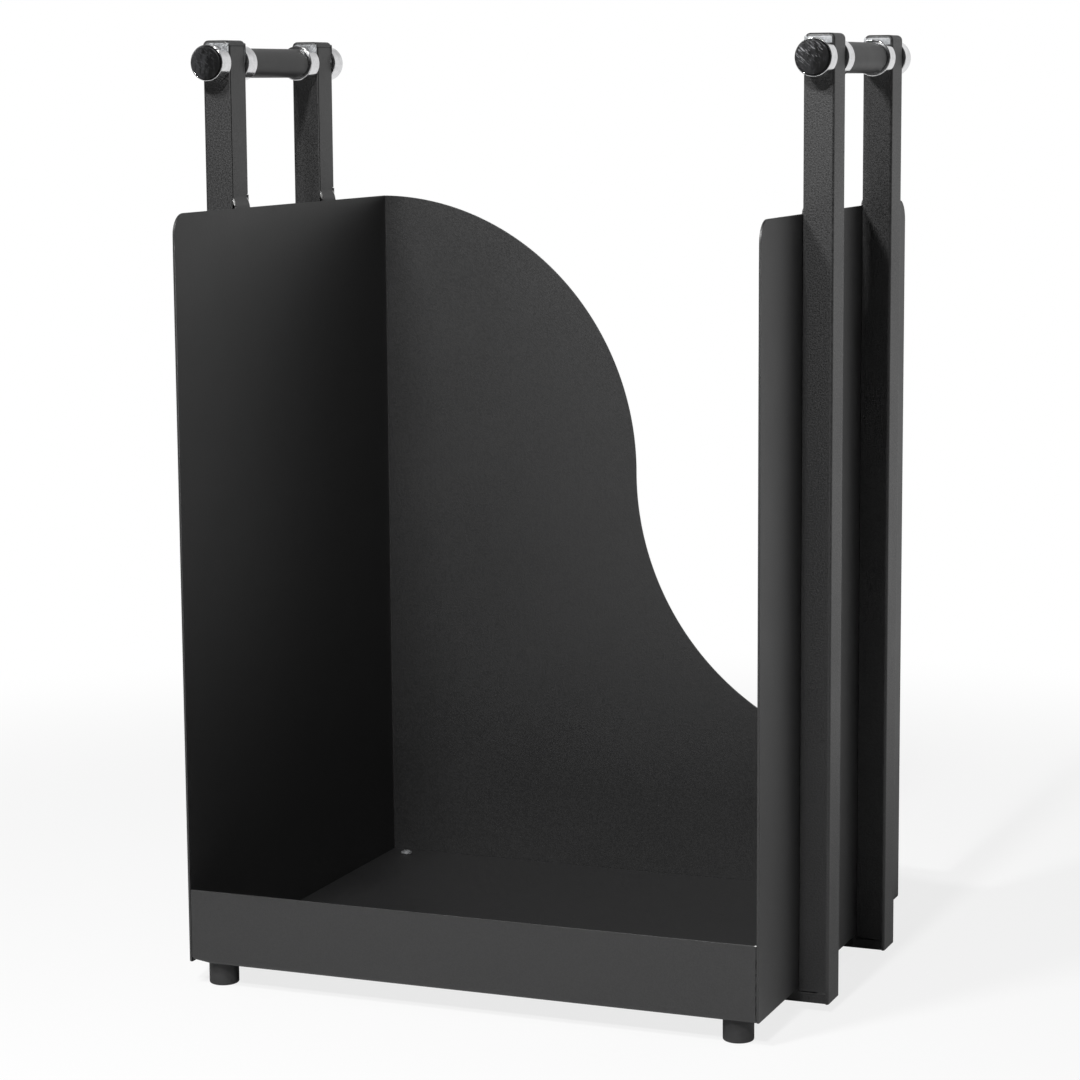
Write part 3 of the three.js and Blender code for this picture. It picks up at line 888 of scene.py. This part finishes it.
class RACK_OT_welds(bpy.types.Operator):
    """Tack welds at the ears, painted bright as highlights, corner welds at the uprights' feet and
    the welds beside the lip
    """

    bl_idname = "rack.welds"
    bl_label = "Welds"
    bl_options = {"REGISTER", "UNDO"}

    def execute(self, context):
        size = context.scene.rack_sizes
        for end, side in UPRIGHTS:
            self.build_highlight_tacks(size, end, side)
            self.build_corner_welds(size, end, side)
        self.build_seam(size)
        return {"FINISHED"}

    def build_highlight_tacks(self, size, end, side):
        """A bead on each cut edge of an ear, at its root, leaning outwards with its step, painted
        bright as a highlight.
        """
        sign, slope, inset, rise = SIDES[side], 0.30, 0.0018, 0.0044
        outer, top = reach_of(f"{side}_side_panel")[1], box_of("back_panel")[1][2]
        low, high = box_of(f"{end}_{side}_upright")
        near, far = low[1] + size.sheet + size.ear_gap, high[1] - size.sheet - size.ear_fit
        along = np.array((sign * slope, 0, 1.0)) / math.hypot(slope, 1)
        across = np.array((sign * 1.0, 0, -slope)) / math.hypot(slope, 1)
        for face, y in (("front", near), ("rear", far)):
            centre = (sign * (outer - inset), y, top + rise)
            # Its bright weld colour is a painted highlight on the ear's root.
            points, faces = pillow(centre, along, across, (0, ENDS[face], 0), EAR_HIGHLIGHT_TACK)
            add_mesh(f"{end}_{side}_tack_{face}", points, faces, "Weld highlight")

    def build_corner_welds(self, size, end, side):
        """A painted bead in the outer part of the slit at an upright's foot, in its front and its
        rear flange, a little proud of the sheet."""
        sign, overlap, proud = SIDES[side], 0.0003, 0.00012
        low, high = box_of(f"{end}_{side}_upright")
        inner, outer = reach_of(f"{end}_{side}_upright")
        start, stop = inner - overlap + size.weld_start, outer - size.channel_bend
        middle = box_of("floor_tray")[0][2] - size.flange_drop - size.slit / 2
        half = ((stop - start) / 2, size.slit * 0.75, size.sheet / 2 + proud)
        for face, y in (("front", low[1]), ("rear", high[1])):
            out = ENDS[face]
            centre = (sign * (start + stop) / 2, y - out * size.sheet / 2, middle)
            points, faces = pillow(centre, (sign, 0, 0), (0, 0, 1), (0, out, 0), half)
            add_mesh(f"{end}_{side}_corner_weld_{face}", points, faces,
                     "Frame paint")

    def build_seam(self, size):
        """Short painted welds that bridge the gap between the lip's right end and the side sheet,
        each from its start to its end up the lip, and one tack at the lip's top corner, painted
        bright as a highlight."""
        low, high = box_of("floor_tray")
        lip_end, side_face = high[0] - size.seam_gap, box_of("right_side_panel")[0][0]
        middle, half_gap = (lip_end + side_face) / 2, (side_face - lip_end) / 2
        height = high[2] - low[2]
        for number, (start, end) in enumerate(SEAM_WELDS):
            centre = (middle, low[1] + size.sheet / 2, low[2] + height * (start + end) / 2)
            half = (half_gap + size.weld_margin, height * (end - start) / 2, size.sheet / 2)
            points, faces = pillow(centre, (1, 0, 0), (0, 0, 1), (0, -1, 0), half)
            add_mesh(f"lip_seam_weld_{number + 1}", points, faces, "Bin paint")
        # The lip's corner tack: a bright bead that is a painted highlight.
        inset, sink, drop, slope = 0.0006, 0.0004, 0.0001, 0.15
        centre = (middle - inset, low[1] + sink, high[2] - drop)
        points, faces = pillow(centre, (1, 0, slope), (-slope, 0, 1), (0, -1, 0), LIP_HIGHLIGHT_TACK)
        add_mesh("lip_corner_highlight_tack", points, faces, "Weld highlight")


class RACK_OT_handles(bpy.types.Operator):
    """Collars, end caps and grip sleeves: spun pieces with rounded edges, on the handle rods"""

    bl_idname = "rack.handles"
    bl_label = "Handles"
    bl_options = {"REGISTER", "UNDO"}

    def execute(self, context):
        size = context.scene.rack_sizes
        for side in SIDES:
            node = f"{side}_grip_sleeve"
            axis = middle_of(node)
            self.spin_piece(f"{side}_grip", self.sleeve(size, *box_of(node)), axis, "grip_paint",
                            "Grip coat", node, f"{side}_grip", closed=True)
            for end, out in ENDS.items():
                for place in ("inner", "outer"):
                    node = f"{end}_{side}_{place}_collar"
                    at, radius, length = self.seat_of(node, axis, out)
                    profile = self.collar(size, radius, length, place == "outer") * (1, out)
                    self.spin_piece(f"{end}_{side}_{place}_ring", profile, at, "collar_chrome",
                                    "Collar chrome", node, closed=True)
                node = f"{end}_{side}_end_cap"
                at, radius, length = self.seat_of(node, axis, out)
                profile = self.cap(size, radius, length) * (1, out)
                self.spin_piece(f"{end}_{side}_cap_disc", profile, at, "end_cap_black", "Cap black",
                                node)
        kept = {f"{side}_handle_rod": "Rod steel" for side in SIDES}
        kept |= {f"{end}_{side}_bearing_block": "Block zinc" for end, side in UPRIGHTS}
        for name, material in kept.items():
            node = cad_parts[name]
            node.data.materials.clear()
            node.data.materials.append(finish(material))
        return {"FINISHED"}

    def seat_of(self, node, axis, out):
        """Where on the handle's axis a piece starts that is built outwards along Y, with the radius
        and the length of its node."""
        low, high = box_of(node)
        at = np.array((axis[0], low[1] if out > 0 else high[1], axis[2]))
        return at, (high[0] - low[0]) / 2, high[1] - low[1]

    def spin_piece(self, name, profile, at, slot, material, node, body="rack", closed=False):
        points, faces = spin(profile, at, "Y", closed=closed)
        add_mesh(name, points, faces, material, [node], body=body)

    def sleeve(self, size, low, high):
        """A tube with softly rounded ends."""
        radius, half, bore = (high[0] - low[0]) / 2, (high[1] - low[1]) / 2, size.sleeve_bore
        corners = [(bore, -half), (radius, -half), (radius, half), (bore, half)]
        inside, outside = 0.0003, 0.0011
        return self.ring(corners, [inside, outside, outside, inside])

    def collar(self, size, radius, length, cupped):
        """A ring; the outer one has a seat for its end cap."""
        bore, seat, floor = size.collar_bore, radius - size.collar_wall, length - size.cap_seat
        fine = 0.0002
        corners = [(bore, 0), (radius, 0), (radius, length)]
        rounding = [fine, size.collar_edge, size.collar_edge * 0.6, fine]
        if cupped:
            corners += [(seat, length), (seat, floor), (bore, floor)]
            rounding += [fine / 2, fine]
        else:
            corners += [(bore, length)]
        return self.ring(corners, rounding)

    def cap(self, size, radius, length):
        """A disc with a rounded rim and a very slightly crowned face."""
        rim, back, front, crown = length - size.cap_crown, 0.0003, 0.0009, 0.01
        corners = [(0, 0), (radius, 0), (radius, rim), (radius * 0.6, length), (0, length)]
        return with_shoulders(rounded(corners, [0, back, front, crown, 0], 8, closed=False))

    def ring(self, corners, rounding):
        path = rounded(corners, rounding, 4)
        return with_shoulders(np.concatenate((path, path[:1])))[:-1]


class RACK_OT_feet(bpy.types.Operator):
    """Peg feet and the cross-recessed screws that hold them"""

    bl_idname = "rack.feet"
    bl_label = "Feet"
    bl_options = {"REGISTER", "UNDO"}

    def execute(self, context):
        size = context.scene.rack_sizes
        for end, side in UPRIGHTS:
            low, high = box_of(f"{end}_{side}_foot")
            centre, radius, height = (low + high) / 2, (high[0] - low[0]) / 2, high[2] - low[2]
            centre[2] = low[2]
            hole, screw_tip = size.foot_hole, box_of(f"{end}_{side}_foot_screw")[0][2]
            bottom = height - (high[2] - screw_tip + size.foot_hole_spare)
            corners = [(0, 0), (radius, 0), (radius, height), (hole, height), (hole, bottom),
                       (0, bottom)]
            under, upper, rim = 0.0013, 0.0004, 0.0002
            outline = rounded(corners, [0, under, upper, rim, 0, 0], 6, closed=False)
            points, faces = spin(with_shoulders(outline, reach=0.0005), centre, "Z", 72)
            add_mesh(f"{end}_{side}_peg", points, faces, "Foot rubber",
                     [f"{end}_{side}_foot"])
            self.build_screw(size, f"{end}_{side}")
        return {"FINISHED"}

    def build_screw(self, size, corner):
        """A spun shank under a domed head whose cross recess is a dip in the dome. The dip's depth
        falls off on a steep straight slope at the walls of each arm and a flatter one at its end."""
        low, high = box_of(f"{corner}_foot_screw")
        centre, head, top = (low + high) / 2, (high[0] - low[0]) / 2, high[2]
        shank, seat, dome_foot = size.screw_shank, top - size.screw_head, top - size.screw_dome
        tip, fine = 0.0004, 0.0002
        corners = [(0, low[2]), (shank, low[2]), (shank, seat), (head, seat), (head, dome_foot)]
        rim = rounded(corners, [0, tip, fine, fine, 0], 4, closed=False)
        radius = np.linspace(head, 0, 30)[1:]
        dome = np.column_stack((radius, top - size.screw_dome * (radius / head) ** 2.4))
        points, faces = spin(np.concatenate((rim, dome)), (centre[0], centre[1], 0), "Z", 96)
        x, y = np.abs(points[:, :2] - centre[:2]).T
        wall, fade = 0.0001, 0.0004
        inside = np.clip((size.recess_width + wall - np.minimum(x, y)) / (2 * wall), 0, 1)
        within = np.clip((size.recess_arm - np.maximum(x, y)) / fade, 0, 1)
        on_dome = points[:, 2] > dome_foot - wall
        points[:, 2] -= size.screw_dome * inside * within * on_dome
        add_mesh(f"{corner}_screw", points, faces, "Screw zinc",
                 [f"{corner}_foot_screw"])


# ---- Stage ----
# Strength of the room low down, by direction in eighths of a circle: behind the rack, behind on
# the left, left, ahead on the left, ahead of the open front, and so on round the right.
LOW_SKY = [0.86, 0.26, 0.13, 0.06, 0.05, 0.04, 0.06, 0.86]
# Strength of the room overhead, and the heights in degrees between which it takes over.
HIGH_SKY = 0.07
SKY_HEIGHTS = (15, 60)
# Radii of the floor's rings and its distance under the feet, in metres; its colour.
FLOOR_RINGS = (0, 1.0, 3.0, 12.0)
FLOOR_DROP = 0.0002
FLOOR_TONE = (0.8, 0.8, 0.8, 1)
# Name, place and width in metres, and power in watts of each lamp; where they all point.
LAMPS = [("Key", (0.17, -2.0, 1.9), 0.15, 44), ("Left", (-0.25, -0.9, 1.3), 0.2, 13)]
LAMP_TARGET = (0.0, 0.0, 0.4)
# Place in metres; turn about Z, dip and roll in degrees; focal length and sensor in millimetres.
CAMERA_PLACE = (0.7702, -1.9522, 0.5993)
CAMERA_TURN, CAMERA_DIP, CAMERA_ROLL = 21.80, 8.41, -0.40
CAMERA_LENS, CAMERA_SENSOR = 103.4, 36


def sky_stops(strengths):
    """Ramp stops round the circle, which ends where it starts."""
    ring = [*strengths, strengths[0]]
    return [(number / (len(ring) - 1), (level,) * 3) for number, level in enumerate(ring)]


class RACK_OT_stage(bpy.types.Operator):
    """Pale floor, soft studio light and the camera"""

    bl_idname = "rack.stage"
    bl_label = "Stage"
    bl_options = {"REGISTER", "UNDO"}

    def execute(self, context):
        self.build_floor()
        self.build_world()
        self.build_lamps()
        self.build_camera()
        return {"FINISHED"}

    def build_floor(self):
        """A flat disc: rings of radius r at height 0. The camera sees it nearly white, with a faint
        soft shadow, near the rack and white further out. Rays that go on from a surface see it
        glow further out, nearly white behind the rack and faint in front of it."""
        points, faces = spin([(radius, 0) for radius in FLOOR_RINGS], (0, 0, -FLOOR_DROP), "Z", 64)
        mesh = bpy.data.meshes.new("studio_floor")
        fill(mesh, points, faces)
        floor = bpy.data.objects.new("studio_floor", mesh)
        bpy.context.scene.collection.objects.link(floor)
        material, f = new_finish("Studio floor")
        x, y, _ = f.split(f.place())
        away = (x * x + y * y).over(0.12, 1.4)
        behind = 0.12 + y.over(0.0, 0.8) * 0.78
        camera, onward = f.camera_and_onward()
        near = camera * (0.8 + away * 0.2)
        white = near.math("ADD", near, onward * away * behind, clamp=True)
        paint = f.add("ShaderNodeBsdfDiffuse", None, {"Color": FLOOR_TONE})[0]
        f.finish_with(f.mix(white, paint, f.glow("ShaderNodeEmission")))
        mesh.materials.append(material)

    def build_world(self):
        """A white backdrop in a soft room. The room's light depends on the direction: a ramp over
        the turn round the rack for low directions, and one strength for high ones. Rays that go on
        from a surface see the backdrop, behind the rack, white as the camera does."""
        world = bpy.data.worlds.new("Studio")
        world.use_nodes = True
        bpy.context.scene.world = world
        f = Finish(world.node_tree)
        x, y, z = f.split(f.add("ShaderNodeTexCoord")[0])
        turn = x.math("ARCTAN2", x, -1 * y) * (0.5 / math.pi) + 0.5
        low = f.add("ShaderNodeValToRGB", {"stops": sky_stops(LOW_SKY)}, {0: turn})[0]
        start, end = (math.sin(math.radians(height)) for height in SKY_HEIGHTS)
        lift = f.add("ShaderNodeMapRange", None, {0: z, 1: start, 2: end})[0]
        room = low * (1 - lift) + lift * HIGH_SKY
        backdrop = (y * 0.93 - x * 0.35).over(0.86, 0.97)
        camera, onward = f.camera_and_onward()
        white = camera.math("ADD", camera, onward * backdrop, clamp=True)
        soft = f.add("ShaderNodeBackground", None, {"Color": WHITE, "Strength": room})[0]
        f.finish_with(f.mix(white, soft, f.glow("ShaderNodeBackground")), "ShaderNodeOutputWorld")

    def build_lamps(self):
        """A lamp high in front of the rack, small enough for the collars to cast plain shadows, and
        a fainter small one nearer to it on the left."""
        for name, place, width, power in LAMPS:
            data = bpy.data.lights.new(name, "AREA")
            data.shape, data.size, data.energy = "DISK", width, power
            lamp = bpy.data.objects.new(name, data)
            way = np.array(LAMP_TARGET) - np.array(place)
            lamp.rotation_euler = (
                math.atan2(math.hypot(way[0], way[1]), -way[2]), 0, math.atan2(-way[0], way[1]))
            lamp.location = place
            bpy.context.scene.collection.objects.link(lamp)

    def build_camera(self):
        data = bpy.data.cameras.new("Camera")
        data.sensor_width, data.lens = CAMERA_SENSOR, CAMERA_LENS
        data.clip_start, data.clip_end = 0.05, 60
        camera = bpy.data.objects.new("Camera", data)
        turn = (
            Matrix.Rotation(math.radians(CAMERA_TURN), 4, "Z")
            @ Matrix.Rotation(math.radians(90 - CAMERA_DIP), 4, "X")
            @ Matrix.Rotation(math.radians(CAMERA_ROLL), 4, "Z")
        )
        camera.matrix_world = Matrix.Translation(CAMERA_PLACE) @ turn
        bpy.context.scene.collection.objects.link(camera)
        bpy.context.scene.camera = camera
        bpy.context.scene.view_settings.view_transform = "Standard"


class RACK_PT_panel(bpy.types.Panel):
    """Lists the operators, the sizes and the colours"""

    bl_label = "Firewood rack"
    bl_idname = "RACK_PT_panel"
    bl_space_type = "VIEW_3D"
    bl_region_type = "UI"
    bl_category = "Firewood rack"

    def draw(self, context):
        for operator in OPERATORS:
            self.layout.operator(operator.bl_idname)
        for group in (context.scene.rack_sizes, context.scene.rack_colours):
            column = self.layout.column()
            for name in group.__annotations__:
                column.prop(group, name)


OPERATORS = [
    RACK_OT_stage, RACK_OT_tray, RACK_OT_back, RACK_OT_sides, RACK_OT_frames, RACK_OT_welds,
    RACK_OT_handles, RACK_OT_feet,
]
CLASSES = [RackSizes, RackColours, *OPERATORS, RACK_PT_panel]


def register():
    for item in CLASSES:
        bpy.utils.register_class(item)
    bpy.types.Scene.rack_sizes = bpy.props.PointerProperty(type=RackSizes)
    bpy.types.Scene.rack_colours = bpy.props.PointerProperty(type=RackColours)


def unregister():
    del bpy.types.Scene.rack_colours
    del bpy.types.Scene.rack_sizes
    for item in reversed(CLASSES):
        bpy.utils.unregister_class(item)


def main():
    register()
    for operator in OPERATORS:
        group, name = operator.bl_idname.split(".")
        getattr(getattr(bpy.ops, group), name)()
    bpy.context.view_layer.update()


if __name__ == "__main__":
    main()
